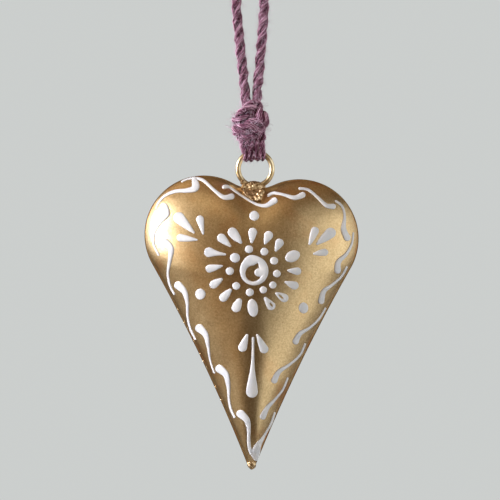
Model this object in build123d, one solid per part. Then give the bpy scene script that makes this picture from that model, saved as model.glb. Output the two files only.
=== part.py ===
from build123d import *
import math
import os

# Hanging tin heart: two pressed half shells brazed along the rim, a brass wire ring brazed into
# the cleft, white paint piped on in relief, and a twisted cord loop knotted through the ring.
# Lengths are in millimetres. +Z is up, the painted front faces -Y, and the origin is the inner
# side of the loop, where a hook carries it. Each piece is named as its file in parts/.

# Heart
heart_width = 80.0
heart_height = 108.0
heart_half_depth = 14.0
heart_shift = 0.6  # the heart hangs this far right of the hook
lobe_radius = 22.2
lobe_lift = 0.7  # the left lobe is pressed this much high, the right one as much low
cleft_radius = 17.0
side_radius = 600.0  # the long sides are slightly hollow
tip_radius = 1.9
crown_drop = 32.5  # from the lobes' top down to the highest point of the dome
ridge_radius = 4.0  # rounds the ridge that runs from the dome down to the tip
valley_radius = 30.0  # rounds the valley that runs from the cleft on to the dome
sheet = 0.5
rim_lean = 12.0  # degrees by which the pressed edge leans in
rim_gap = 0.6  # between the two rims, filled with braze
seam_proud = 0.35
seam_depth = 1.0

# Ring and braze
ring_radius = 6.35  # to the middle of the wire
ring_wire = 2.0
ring_shift = 1.3  # the ring sits this far right of the heart's middle
ring_foot_gap = 0.1  # between the ring's foot and the seam in the cleft
lump_width = 9.4
lump_depth = 5.6
lump_height = 5.6
lump_shift = 0.7  # the lump sits this far left of the ring's middle
apron_skin = 0.8  # thickness of the braze that ran down the faces
apron_top_radius = 3.8
apron_end_radius = 1.5
apron_drop = 2.9
tip_lump_width = 3.4
tip_lump_height = 4.4
tip_lump_depth = 3.0

# Cord loop
cord_diameter = 3.5
hook_radius = 3.45  # of the hook that the loop is sized for
loop_drop = 46.7  # from the hook down to where the strands enter the knot
entry_spread = 1.9  # each strand's distance from their middle at the knot
waist_spread = 4.4  # the same where the strands bow out a little
waist_drop = 22.8
knot_shift = 0.5  # the knot hangs this far right of the hook

# Knot
knot_pitch = 4.1
knot_top_drop = 5.6  # from the strands' entry down to the start of the first wrap
knot_half_width = 5.45  # to the middle of the wrapped cord
knot_half_depth = 3.95
knot_end_width = 4.8  # the last wrap is drawn in this far
knot_end_drift = 0.65  # and lies this far to the left
knot_quarter_turns = 7  # how far the wrap goes round
core_gap = 0.25
core_length = 13.0

# Bights, the two turns of the same cord that carry the ring
bight_width = 4.4
bight_thickness = 2.8
bight_spread = 2.35  # each bight's distance from the ring's middle
bight_squeeze = 0.5  # how much thinner the cord is pressed under the wire
ring_clearance = 0.3
nod_drop = 15.3  # from the strands' entry down to the axis about which the neck bends
neck_radius = 4.0  # the bights' upper ends are rounded about that axis
nod_clearance = 0.35
ring_drop = 9.8  # from that axis down to the ring's middle

# Paint
paint_height = 0.55
paint_bed = 0.02  # a hair between paint and metal

# The paint's places are read from the photograph, in its pixels. The heart's middle, its top
# and its size there are these.
photo_middle_px = 251.5
photo_top_px = 177.0
photo_width_px = 214.0
photo_height_px = 289.0

# A drop is its bulb's place, its tip's place and its bulb's radius.
drop_tip_px = 1.1
petals_px = [
    (252.5, 232.5, 251.6, 241.3, 4.6),
    (266.9, 234.8, 264.9, 242.6, 4.6),
    (278.2, 242.0, 275.4, 249.8, 4.7),
    (292.2, 256.0, 290.0, 257.0, 6.4),
    (296.8, 270.4, 287.6, 270.0, 4.0),
    (293.6, 285.8, 285.0, 281.2, 4.4),
    (284.6, 298.0, 276.4, 292.2, 4.3),
    (271.0, 305.2, 265.4, 297.2, 4.6),
    (252.9, 307.6, 252.0, 303.6, 5.4),
    (236.2, 308.2, 240.0, 300.4, 4.8),
    (225.0, 297.2, 230.6, 290.2, 4.5),
    (215.4, 284.0, 221.6, 279.6, 4.3),
    (212.4, 268.0, 221.4, 265.9, 4.1),
    (211.4, 251.8, 225.0, 253.6, 4.7),
    (222.0, 238.2, 229.8, 245.6, 4.5),
    (232.8, 231.4, 240.4, 242.0, 5.2),
]
sprigs_px = [
    (179.4, 218.2, 194.0, 232.8, 6.2),
    (200.4, 219.8, 203.2, 233.8, 4.2),
    (181.6, 237.4, 196.6, 240.0, 4.2),
    (313.6, 231.8, 309.2, 244.2, 4.2),
    (329.4, 233.6, 317.0, 243.4, 5.6),
    (324.2, 251.9, 313.4, 253.2, 3.6),
]
pendants_px = [
    (242.6, 346.6, 246.8, 334.6, 4.5),
    (264.0, 348.8, 257.4, 335.2, 4.9),
    (251.9, 390.6, 252.9, 337.0, 6.0),
]

# A dot is its place and its radius.
inner_dots_px = [
    (248.9, 249.0, 4.2),
    (264.2, 251.3, 4.2),
    (273.8, 260.4, 4.1),
    (276.5, 273.2, 3.9),
    (272.5, 284.4, 3.9),
    (263.1, 289.2, 4.0),
    (249.7, 291.6, 4.2),
    (236.3, 285.3, 4.3),
    (229.9, 270.7, 4.4),
    (235.0, 257.5, 5.2),
]
single_dots_px = [
    (254.2, 215.8, 5.3),
    (200.8, 293.4, 5.2),
    (303.0, 307.2, 4.9),
]

# The flower's eye: its disc, the hole in the disc, and the dot that juts into the hole.
eye_disc_px = (253.9, 270.0, 14.4)
eye_hole_px = (252.6, 272.6, 8.4)
eye_dot_px = (259.4, 272.4, 4.4)

# A scroll is a row of places with the stroke's half width there, from its bulb to its tail.
top_scrolls_px = [
    [
        (196.0, 188.4, 4.4), (187.0, 190.6, 3.0), (175.0, 191.6, 2.0), (165.0, 196.2, 1.5),
        (158.4, 203.0, 1.2),
    ],
    [
        (231.4, 196.6, 3.4), (223.6, 197.2, 2.6), (213.8, 189.8, 1.9), (203.4, 180.8, 1.9),
        (193.6, 179.4, 1.8),
    ],
    [
        (274.2, 200.6, 3.6), (266.0, 205.6, 2.4), (256.0, 204.0, 1.6), (243.2, 196.6, 1.4),
        (232.8, 189.6, 1.6),
    ],
    [
        (302.2, 195.0, 3.4), (294.2, 197.8, 2.6), (284.4, 195.0, 1.8), (274.0, 193.0, 1.8),
        (268.2, 195.4, 1.8),
    ],
    [
        (332.6, 206.4, 3.2), (325.6, 205.2, 2.4), (317.6, 197.6, 1.8), (308.4, 190.0, 1.7),
        (299.4, 188.4, 1.7),
    ],
    [
        (346.6, 237.4, 3.8), (343.0, 228.6, 3.0), (344.2, 216.4, 1.7), (342.0, 206.6, 1.6),
        (335.6, 200.8, 1.5),
    ],
]
left_scrolls_px = [
    [
        (164.4, 207.0, 4.6), (167.6, 214.4, 2.6), (160.6, 223.0, 1.7), (154.6, 233.0, 1.6),
        (154.2, 244.0, 1.6), (158.8, 254.4, 1.5),
    ],
    [
        (165.6, 242.4, 4.6), (171.4, 248.6, 3.4), (170.2, 260.0, 2.2), (168.2, 273.0, 1.6),
        (170.2, 285.0, 1.5), (174.4, 293.6, 1.4),
    ],
    [
        (178.6, 284.8, 4.5), (185.0, 291.6, 3.2), (187.6, 303.0, 2.0), (187.8, 316.0, 1.5),
        (190.4, 328.0, 1.5), (195.4, 338.6, 1.4),
    ],
    [
        (199.8, 327.6, 4.6), (206.0, 334.2, 3.2), (208.4, 346.0, 1.9), (209.8, 357.0, 1.4),
        (211.8, 365.0, 1.3), (214.4, 372.0, 1.3),
    ],
    [
        (219.8, 368.0, 4.6), (226.2, 374.0, 3.4), (228.6, 386.0, 2.2), (229.0, 398.0, 1.6),
        (231.0, 408.4, 1.6), (234.6, 416.4, 1.5),
    ],
    [
        (240.8, 412.8, 4.5), (246.8, 419.0, 3.4), (248.8, 428.6, 2.3), (248.6, 437.0, 1.9),
        (249.4, 444.6, 1.9),
    ],
]
right_scrolls_px = [
    [
        (337.0, 269.8, 3.7), (338.0, 261.4, 3.0), (346.0, 253.4, 2.0), (351.4, 243.4, 1.5),
        (353.0, 232.8, 1.3),
    ],
    [
        (320.6, 300.4, 3.5), (323.4, 290.6, 2.7), (332.0, 284.0, 1.8), (341.0, 276.0, 1.5),
        (346.2, 266.8, 1.5),
    ],
    [
        (295.2, 340.6, 3.5), (299.6, 332.8, 2.6), (309.6, 326.8, 1.7), (318.6, 318.4, 1.5),
        (325.0, 308.0, 1.4),
    ],
    [
        (274.0, 379.4, 3.5), (278.8, 370.6, 2.6), (290.2, 363.0, 1.7), (299.8, 354.0, 1.5),
        (304.6, 343.4, 1.4),
    ],
    [
        (262.6, 415.6, 3.4), (267.0, 406.6, 2.6), (274.8, 398.4, 1.7), (282.6, 388.6, 1.5),
        (287.2, 377.6, 1.4),
    ],
    [
        (255.6, 452.0, 3.4), (257.8, 443.6, 2.7), (264.0, 434.8, 1.7), (270.6, 423.4, 1.5),
        (274.4, 412.4, 1.4),
    ],
]

# Angles round the dome's quarter circle at which its contours lie, from rim to crown
dome_angles = [12.0, 24.0, 39.0, 54.0, 68.0, 81.0]
crown_spread_share = 0.18  # how far apart the lobes still lie at the crown, of the half width
tip_fall_power = 1.25  # towards the crown the tip's end draws in faster than the sides
bend_share = 0.45  # of the shorter run, taken up by each bend of the cord
core_waist_share = 0.72  # the core's half width at its lower end, of that at its upper end
scroll_steps = 2  # straight cuts along a scroll's edge between two places

# Places worked out from the sizes above
cord_radius = cord_diameter / 2
nod_z = -loop_drop - nod_drop
ring_z = nod_z - ring_drop
ring_x = heart_shift + ring_shift
overrun = heart_width + heart_half_depth  # long enough to reach past the whole heart


def touching_centre(near, near_radius, far, far_radius, radius, side):
    """Centre of the circle of that radius that touches two circles from outside, on one side."""
    near_reach = radius + near_radius
    far_reach = radius + far_radius
    gap_x = far[0] - near[0]
    gap_z = far[1] - near[1]
    gap = math.hypot(gap_x, gap_z)
    along = (near_reach**2 - far_reach**2 + gap**2) / (2 * gap)
    across = side * math.sqrt(near_reach**2 - along**2)
    x = near[0] + (gap_x * along - gap_z * across) / gap
    z = near[1] + (gap_z * along + gap_x * across) / gap
    return (x, z)


def towards(start, end, distance):
    """The point at that distance from start, on the way to end."""
    length = math.dist(start, end)
    x = start[0] + (end[0] - start[0]) * distance / length
    z = start[1] + (end[1] - start[1]) * distance / length
    return (x, z)


def short_arc(centre, radius, first, last, y):
    """The shorter arc round centre, in the plane at that y."""
    halfway = ((first[0] + last[0]) / 2, (first[1] + last[1]) / 2)
    middle = towards(centre, halfway, radius)
    points = [Vector(x, y, z) for x, z in (first, middle, last)]
    return ThreePointArc(*points)


def lobe_arcs(centre, radius, first, last, turn, y):
    """A lobe in two arcs, round its outer shoulder. turn is 1 for anticlockwise."""
    start = math.atan2(first[1] - centre[1], first[0] - centre[0])
    end = math.atan2(last[1] - centre[1], last[0] - centre[0])
    if turn * (end - start) < 0:
        end += turn * 2 * math.pi
    points = []
    for step in range(5):
        angle = start + (end - start) * step / 4
        x = centre[0] + radius * math.cos(angle)
        z = centre[1] + radius * math.sin(angle)
        points.append(Vector(x, y, z))
    return [ThreePointArc(*points[:3]), ThreePointArc(*points[2:])]


def contour_circles(share, grow):
    """Centres and radii of the arcs of one contour, seen from the crown. share is 1 at the rim."""
    rim_lobe = lobe_radius + grow
    rim_spread = heart_width / 2 - lobe_radius
    half_width = (rim_spread + rim_lobe) * share
    spread_share = rim_spread / (rim_spread + rim_lobe)
    spread = half_width * (crown_spread_share + (spread_share - crown_spread_share) * share)
    lobe = half_width - spread
    lobe_z = (crown_drop + grow) * share - lobe
    tip_end = (heart_height - crown_drop + grow) * share**tip_fall_power
    tip = (tip_radius + grow) * share + ridge_radius * 4 * share * (1 - share)
    cleft = (cleft_radius - grow) * share + valley_radius * (1 - share)
    side = side_radius - grow
    right = (spread, lobe_z - lobe_lift * share)
    left = (-spread, lobe_z + lobe_lift * share)
    point = (0, tip - tip_end)
    right_side = touching_centre(right, lobe, point, tip, side, 1)
    left_side = touching_centre(left, lobe, point, tip, side, -1)
    top = touching_centre(right, lobe, left, lobe, cleft, -1)
    return right, left, lobe, point, tip, right_side, left_side, side, top, cleft


def heart_contour(share, grow, y):
    """One closed contour of the dome, round its crown."""
    circles = contour_circles(share, grow)
    right, left, lobe, point, tip, right_side, left_side, side, top, cleft = circles
    right_low = towards(right, right_side, lobe)
    right_high = towards(right, top, lobe)
    left_low = towards(left, left_side, lobe)
    left_high = towards(left, top, lobe)
    tip_right = towards(point, right_side, tip)
    tip_left = towards(point, left_side, tip)
    edges = [
        short_arc(point, tip, tip_left, tip_right, y),
        short_arc(right_side, side, tip_right, right_low, y),
        *lobe_arcs(right, lobe, right_low, right_high, 1, y),
        short_arc(top, cleft, right_high, left_high, y),
        *lobe_arcs(left, lobe, left_high, left_low, 1, y),
        short_arc(left_side, side, left_low, tip_left, y),
    ]
    return Wire(edges)


def cleft_height():
    """Height of the seam's top edge above the crown, where the ring's foot stands."""
    top, cleft = contour_circles(1, 0)[-2:]
    return top[1] - math.sqrt(cleft**2 - (ring_shift - top[0]) ** 2)


crown_z = ring_z - ring_radius - ring_wire / 2 - ring_foot_gap - cleft_height()
crown = Pos(heart_shift, 0, crown_z)
tip_z = crown_z + crown_drop - heart_height


def half_dome(grow):
    """The solid under the front half's skin, from its rim out to the crown."""
    lean = math.radians(rim_lean)
    rim_y = rim_gap / 2
    contours = []
    for angle in dome_angles:
        turn = math.radians(angle)
        share = math.cos(turn) / math.cos(lean)
        rise = (math.sin(turn) - math.sin(lean)) / (1 - math.sin(lean))
        depth = rim_y + (heart_half_depth + grow - rim_y) * rise
        contours.append(heart_contour(share, grow - seam_proud, -depth))
    return crown * Solid.make_loft(contours)


def rim_slab(grow):
    """A flat slab of the heart's outline that fills the gap between the rims."""
    outline = crown * Face(heart_contour(1, grow, -rim_gap / 2))
    return extrude(outline, amount=rim_gap, dir=(0, 1, 0))


def whole_heart(grow):
    """Both halves and the seam as one block, for cutting what lies against them."""
    front = half_dome(grow)
    return front + mirror(front, about=Plane.XZ) + rim_slab(grow)


def make_shell():
    """The front half shell: 0.5 mm tinplate pressed over a die."""
    return half_dome(0) - half_dome(-sheet)


def make_rim_seam():
    """The braze line between the two rims, standing a little proud."""
    return rim_slab(0) - rim_slab(-seam_proud - seam_depth)


def make_tip_braze(heart):
    """The blob of braze that closes the tip."""
    size = (tip_lump_width / 2, tip_lump_depth / 2, tip_lump_height / 2)
    blob = scale(Sphere(1), by=size)
    blob = Pos(heart_shift, 0, tip_z + tip_lump_height / 4) * blob
    return (blob - heart).solids().sort_by(SortBy.VOLUME)[-1]


def make_ring():
    """The round wire ring."""
    ring = Torus(ring_radius, ring_wire / 2)
    return Pos(ring_x, 0, ring_z) * Rot(90, 0, 0) * ring


def make_ring_braze(heart, ring):
    """The lump under the ring, with the braze that ran down both faces below it."""
    lump_x = ring_x - lump_shift
    lump_z = ring_z - ring_radius - ring_wire / 2
    size = (lump_width / 2, lump_depth / 2, lump_height / 2)
    lump = Pos(lump_x, 0, lump_z) * scale(Sphere(1), by=size)
    high = (lump_x, lump_z, apron_top_radius)
    low = (lump_x, lump_z - apron_drop, apron_end_radius)
    outline = drop_face(high, low)
    apron = through_block(outline, -overrun, overrun) & whole_heart(apron_skin)
    braze = lump + apron - heart - ring
    return braze.solids().sort_by(SortBy.VOLUME)[-1]


def bend_radii(points):
    """The radius of each bend of the cord, as large as its two runs allow."""
    radii = []
    for before, corner, after in zip(points, points[1:], points[2:]):
        turn = (corner - before).get_angle(after - corner)
        run = min((corner - before).length, (after - corner).length)
        radii.append(bend_share * run / math.tan(math.radians(turn) / 2))
    return radii


def swept_share(tube, section, path):
    """A sound tube's volume is its section times its length, so this is close to one."""
    return round(tube.volume / (section.area * path.length), 4)


def loop_route():
    """The loop's corners, from the right strand's lower end over the hook to the left one's."""
    turn = math.radians(180) / 3
    arch_radius = hook_radius + cord_radius
    run = arch_radius * math.tan(turn / 2) / bend_share
    apex_z = cord_radius + arch_radius * (1 / math.cos(turn / 2) - 1)
    shoulder_x = run * math.cos(turn / 2)
    shoulder_z = apex_z - run * math.sin(turn / 2)
    waist_x = knot_shift * waist_drop / loop_drop
    end_z = -loop_drop - cord_diameter
    slope = (waist_spread - entry_spread) / (loop_drop - waist_drop)
    end_spread = entry_spread - slope * cord_diameter
    end_x = knot_shift
    places = [
        (end_x + end_spread, end_z),
        (waist_x + waist_spread, -waist_drop),
        (shoulder_x, shoulder_z),
        (0, apex_z),
        (-shoulder_x, shoulder_z),
        (waist_x - waist_spread, -waist_drop),
        (end_x - end_spread, end_z),
    ]
    return [Vector(x, 0, z) for x, z in places]


def make_cord_loop():
    """The loop of cord above the knot, both strands cut off level where they enter it."""
    points = loop_route()
    radii = bend_radii(points)
    path = FilletPolyline(*points, radius=radii)
    section = Plane(origin=points[0], z_dir=path % 0) * Circle(cord_radius)
    tube = sweep(section, path)
    cut = Box(overrun, overrun, overrun, align=(Align.CENTER, Align.CENTER, Align.MAX))
    print("cord loop bends", [round(radius, 1) for radius in radii])
    print("cord loop length", round(path.length, 1), "with its ends cut at", -loop_drop)
    print("cord loop volume over section times length", swept_share(tube, section, path))
    return tube - Pos(0, 0, -loop_drop) * cut


def wrap_place(quarter):
    """A place on the wrap and its direction, after that many quarter turns."""
    share = quarter / knot_quarter_turns
    angle = quarter * math.pi / 2
    width = knot_half_width + (knot_end_width - knot_half_width) * share
    middle = knot_shift - knot_end_drift * share
    top = -loop_drop - knot_top_drop
    x = middle + width * math.cos(angle)
    y = -knot_half_depth * math.sin(angle)
    z = top - knot_pitch * quarter / 4
    widening = (knot_end_width - knot_half_width) / knot_quarter_turns
    drift = -knot_end_drift / knot_quarter_turns
    quarter_angle = math.pi / 2
    step_x = drift + widening * math.cos(angle) - width * math.sin(angle) * quarter_angle
    step_y = -knot_half_depth * math.cos(angle) * quarter_angle
    return Vector(x, y, z), Vector(step_x, step_y, -knot_pitch / 4).normalized()


def biarc(start, start_way, end, end_way):
    """Two arcs that leave start and reach end in the given directions."""
    span = end - start
    along = span.dot(start_way + end_way)
    spread = 2 * (1 - start_way.dot(end_way))
    reach = (-along + math.sqrt(along**2 + spread * span.dot(span))) / spread
    joint = (start + start_way * reach + end - end_way * reach) * 0.5
    first = TangentArc(start, joint, tangent=start_way)
    second = TangentArc(end, joint, tangent=end_way * -1)
    return [first, second]


def wrap_path():
    """The wrapped cord's middle line, one biarc to a quarter turn, with straight ends."""
    places = [wrap_place(quarter) for quarter in range(knot_quarter_turns + 1)]
    first, first_way = places[0]
    last, last_way = places[-1]
    edges = [Line(first - first_way * cord_diameter, first)]
    for (start, start_way), (end, end_way) in zip(places, places[1:]):
        edges.extend(biarc(start, start_way, end, end_way))
    edges.append(Line(last, last + last_way * cord_diameter))
    return Wire(edges)


def least_gap(path, apart):
    """The least clear distance between stretches of the tube at least that far apart along it."""
    count = math.ceil(path.length * 4 / cord_diameter)
    points = [path @ (step / count) for step in range(count + 1)]
    step_length = path.length / count
    skip = math.ceil(apart / step_length)
    gaps = []
    for index, point in enumerate(points):
        for other in points[index + skip :]:
            gaps.append((point - other).length - cord_diameter)
    return min(gaps)


def neck_pocket(clearance):
    """The rounded space about the nod axis in which the bights' upper ends turn."""
    width = 2 * (bight_spread + bight_width / 2 + clearance)
    barrel = Cylinder(neck_radius + clearance, width)
    return Pos(ring_x, 0, nod_z) * Rot(0, 90, 0) * barrel


def make_cord_knot():
    """The cord wrapped about the strands, as one unbroken tube."""
    path = wrap_path()
    section = Plane(origin=path @ 0, z_dir=path % 0) * Circle(cord_radius)
    tube = sweep(section, path)
    print("knot wrap least gap to itself", round(least_gap(path, 3 * cord_diameter), 2))
    print("knot wrap volume over section times length", swept_share(tube, section, path))
    return tube - neck_pocket(nod_clearance)


def make_knot_core():
    """The strands inside the wrap, as a plain oval plug that the loop's ends meet face to face."""
    inset = cord_radius + core_gap
    half_depth = knot_half_depth - inset
    end_half_width = knot_end_width - inset
    top = Plane.XY.offset(-loop_drop).move(Location((knot_shift, 0, 0)))
    low = top.offset(-core_length)
    low = low.move(Location((-knot_end_drift, 0, 0)))
    top_section = top * Ellipse(knot_half_width - inset, half_depth)
    low_section = low * Ellipse(end_half_width, half_depth)
    core = loft([top_section, low_section])
    return core - neck_pocket(nod_clearance)


def make_bight(side):
    """One turn of the cord round the ring, from the neck down through the ring and up again."""
    x = ring_x + side * bight_spread
    wire_z = ring_z + math.sqrt(ring_radius**2 - bight_spread**2)
    radius = ring_wire / 2 + ring_clearance + bight_thickness / 2 - bight_squeeze
    top_z = nod_z + neck_radius
    front_top = Vector(x, -radius, top_z)
    front_low = Vector(x, -radius, wire_z)
    bottom = Vector(x, 0, wire_z - radius)
    back_low = Vector(x, radius, wire_z)
    back_top = Vector(x, radius, top_z)
    front = Line(front_top, front_low)
    turn = ThreePointArc(front_low, bottom, back_low)
    back = Line(back_low, back_top)
    path = Wire([front, turn, back])
    plane = Plane(origin=front_top, x_dir=(1, 0, 0), z_dir=(0, 0, -1))
    tube = sweep(plane * Ellipse(bight_width / 2, bight_thickness / 2), path)
    groove = Torus(ring_radius, ring_wire / 2 + ring_clearance)
    groove = Pos(ring_x, 0, ring_z) * Rot(90, 0, 0) * groove
    below = Box(overrun, overrun, overrun, align=(Align.CENTER, Align.CENTER, Align.MAX))
    room = Pos(0, 0, nod_z) * below + neck_pocket(0)
    print("bight length", round(path.length, 1))
    return (tube - groove) & room


def from_photo(x_px, z_px):
    """The place on the heart's front plane that a pixel of the photograph shows."""
    x = heart_shift + (x_px - photo_middle_px) * heart_width / photo_width_px
    z = crown_z + crown_drop - (z_px - photo_top_px) * heart_height / photo_height_px
    return (x, z)


def photo_length(length_px):
    return length_px * heart_width / photo_width_px


def drop_face(bulb, tip):
    """The outline round two circles and the taper between them, as a face in the XZ plane."""
    bulb_x, bulb_z, bulb_radius = bulb
    tip_x, tip_z, tip_circle = tip
    length = math.hypot(tip_x - bulb_x, tip_z - bulb_z)
    heading = math.atan2(tip_z - bulb_z, tip_x - bulb_x)
    opening = math.acos((bulb_radius - tip_circle) / length)

    def at(x, z, radius, angle):
        return Vector(x + radius * math.cos(angle), 0, z + radius * math.sin(angle))

    left_bulb = at(bulb_x, bulb_z, bulb_radius, heading + opening)
    right_bulb = at(bulb_x, bulb_z, bulb_radius, heading - opening)
    far_bulb = at(bulb_x, bulb_z, bulb_radius, heading + math.pi)
    left_tip = at(tip_x, tip_z, tip_circle, heading + opening)
    right_tip = at(tip_x, tip_z, tip_circle, heading - opening)
    end_tip = at(tip_x, tip_z, tip_circle, heading)
    edges = [
        ThreePointArc(left_bulb, far_bulb, right_bulb),
        Line(right_bulb, right_tip),
        ThreePointArc(right_tip, end_tip, left_tip),
        Line(left_tip, left_bulb),
    ]
    return Face(Wire(edges))


def photo_drop(x_px, z_px, tip_x_px, tip_z_px, radius_px):
    bulb = (*from_photo(x_px, z_px), photo_length(radius_px))
    tip = (*from_photo(tip_x_px, tip_z_px), photo_length(drop_tip_px))
    if math.dist(bulb[:2], tip[:2]) <= bulb[2] - tip[2]:
        return photo_dot(x_px, z_px, radius_px)
    return drop_face(bulb, tip)


def photo_dot(x_px, z_px, radius_px):
    x, z = from_photo(x_px, z_px)
    plane = Plane(origin=(x, 0, z), x_dir=(1, 0, 0), z_dir=(0, -1, 0))
    return plane * Circle(photo_length(radius_px)).face()


def smooth_row(places):
    """Places between the given ones, on a smooth line through them."""
    padded = [places[0], *places, places[-1]]
    row = []
    for a, b, c, d in zip(padded, padded[1:], padded[2:], padded[3:]):
        for step in range(scroll_steps):
            t = step / scroll_steps
            place = []
            for p, q, r, s in zip(a, b, c, d):
                curve = (-p + 3 * q - 3 * r + s) * t**3 + (2 * p - 5 * q + 4 * r - s) * t**2
                place.append(q + (curve + (r - p) * t) / 2)
            row.append(tuple(place))
    row.append(places[-1])
    return row


def scroll_face(places_px):
    """A stroke of changing width that starts in a round bulb and ends in a round tail."""
    places = []
    for x_px, z_px, half_px in places_px:
        places.append((*from_photo(x_px, z_px), photo_length(half_px)))
    row = smooth_row(places)
    one_side = []
    other_side = []
    for index, (x, z, half) in enumerate(row):
        before = row[max(index - 1, 0)]
        after = row[min(index + 1, len(row) - 1)]
        way_x = after[0] - before[0]
        way_z = after[1] - before[1]
        length = math.hypot(way_x, way_z)
        one_side.append(Vector(x - way_z * half / length, 0, z + way_x * half / length))
        other_side.append(Vector(x + way_z * half / length, 0, z - way_x * half / length))
    outline = Polyline(*one_side, *reversed(other_side), close=True)
    bulb = photo_dot(*places_px[0])
    tail = photo_dot(*places_px[-1])
    return [Face(Wire(outline.edges())), bulb, tail]


def through_block(face, front_y, back_y):
    """A flat face in the XZ plane made into a block between two depths."""
    if face.normal_at().Y > 0:
        face = -face
    return Pos(0, back_y, 0) * extrude(face, amount=back_y - front_y)


def painted(strokes, skin):
    """The strokes laid on the dome. A stroke is one face or several that are joined."""
    pieces = []
    for faces in strokes:
        blocks = [through_block(face, -overrun, 0) for face in faces]
        block = blocks[0].fuse(*blocks[1:]) if len(blocks) > 1 else blocks[0]
        pieces.extend((block & skin).solids())
    return Compound(children=pieces)


def make_eye(skin):
    disc = photo_dot(*eye_disc_px)
    hole = photo_dot(*eye_hole_px)
    dot = photo_dot(*eye_dot_px)
    disc_block = through_block(disc, -overrun, 0)
    hole_block = through_block(hole, -overrun, 0)
    dot_block = through_block(dot, -overrun, 0)
    return (disc_block - hole_block + dot_block) & skin


def make_paint(braze):
    """The front's paint, one entry for each kind of stroke. It stops where the braze lies."""
    skin = half_dome(paint_bed + paint_height) - half_dome(paint_bed) - braze
    paint = {"flower_eye": make_eye(skin)}
    paint["inner_dots"] = painted([[photo_dot(*dot)] for dot in inner_dots_px], skin)
    paint["petals"] = painted([[photo_drop(*drop)] for drop in petals_px], skin)
    paint["sprigs"] = painted([[photo_drop(*drop)] for drop in sprigs_px], skin)
    paint["pendant_drops"] = painted([[photo_drop(*drop)] for drop in pendants_px], skin)
    paint["single_dots"] = painted([[photo_dot(*dot)] for dot in single_dots_px], skin)
    paint["top_scrolls"] = painted([scroll_face(row) for row in top_scrolls_px], skin)
    paint["left_scrolls"] = painted([scroll_face(row) for row in left_scrolls_px], skin)
    paint["right_scrolls"] = painted([scroll_face(row) for row in right_scrolls_px], skin)
    return paint


def make_parts():
    shell = make_shell()
    heart = whole_heart(0)
    ring = make_ring()
    braze = make_ring_braze(heart, ring)
    parts = {
        "front_shell": shell,
        "back_shell": mirror(shell, about=Plane.XZ),
        "rim_seam": make_rim_seam(),
        "tip_braze": make_tip_braze(heart),
        "hanging_ring": ring,
        "ring_braze": braze,
        "cord_loop": make_cord_loop(),
        "cord_knot": make_cord_knot(),
        "knot_core": make_knot_core(),
        "bight_left": make_bight(-1),
        "bight_right": make_bight(1),
    }
    for name, paint in make_paint(braze).items():
        parts["front_" + name] = paint
        parts["back_" + name] = mirror(paint, about=Plane.XZ)
    return parts


if __name__ == "__main__":
    os.makedirs("parts", exist_ok=True)
    for name, piece in make_parts().items():
        export_step(piece, "parts/" + name + ".step")
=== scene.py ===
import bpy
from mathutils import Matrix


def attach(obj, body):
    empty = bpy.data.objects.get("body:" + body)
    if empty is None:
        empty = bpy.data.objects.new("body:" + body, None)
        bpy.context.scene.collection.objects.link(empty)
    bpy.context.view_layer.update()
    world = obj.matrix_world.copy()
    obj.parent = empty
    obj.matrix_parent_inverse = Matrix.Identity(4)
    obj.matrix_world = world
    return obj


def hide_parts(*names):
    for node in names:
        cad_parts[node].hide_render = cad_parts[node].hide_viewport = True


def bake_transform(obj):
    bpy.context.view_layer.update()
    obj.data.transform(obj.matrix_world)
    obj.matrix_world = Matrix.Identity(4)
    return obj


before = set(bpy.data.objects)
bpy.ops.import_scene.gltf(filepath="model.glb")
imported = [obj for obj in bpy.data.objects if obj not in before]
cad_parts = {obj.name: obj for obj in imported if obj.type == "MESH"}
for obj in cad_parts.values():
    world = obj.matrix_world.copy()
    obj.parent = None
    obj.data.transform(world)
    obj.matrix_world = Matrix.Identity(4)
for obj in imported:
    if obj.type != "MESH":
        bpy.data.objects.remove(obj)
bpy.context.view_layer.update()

import math

import bmesh
import bpy
from mathutils import Matrix, Vector, noise
from mathutils.bvhtree import BVHTree

mm = 0.001

# Where it is seen from: the heart hangs square to the camera, at the height of its middle.
# A long lens from 1.6 m away, a pale floor well below the tip and a pale surround.
view_width = 186.9 * mm  # what the frame takes in at the heart
view_distance = 1.6
view_middle = (0.0, -102.1 * mm)
lens_sensor = 36.0
nearest_seen, farthest_seen = 0.05, 50.0
floor_level = -1600 * mm
floor_radius = 1.7
floor_corners = 96


def put(name, data):
    """A new object in the scene."""
    made = bpy.data.objects.new(name, data)
    bpy.context.scene.collection.objects.link(made)
    return made


def node_row(tree, *kinds):
    """New nodes of these kinds in a tree."""
    return [tree.nodes.new(kind) for kind in kinds]


def dial(node, values):
    """Sets a node's inputs, each by its name or its number."""
    for socket, value in values.items():
        node.inputs[socket].default_value = value


def join(tree, wires):
    """Links a tree's nodes. A wire is a node, its output, the next node and its input."""
    for giver, output, taker, socket in wires:
        tree.links.new(giver.outputs[output], taker.inputs[socket])


def new_finish(name, values):
    """A material with these values on its shader. Gives the material, its tree and the shader."""
    finish = bpy.data.materials.new(name)
    finish.use_nodes = True
    shader = finish.node_tree.nodes["Principled BSDF"]
    dial(shader, values)
    return finish, finish.node_tree, shader


camera = put("camera", bpy.data.cameras.new("camera"))
camera.data.sensor_width = lens_sensor
camera.data.lens = lens_sensor * view_distance / view_width
camera.data.clip_start = nearest_seen
camera.data.clip_end = farthest_seen
camera.location = (view_middle[0], -view_distance, view_middle[1])
camera.rotation_euler = (math.radians(90), 0, 0)
bpy.context.scene.camera = camera

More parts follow.
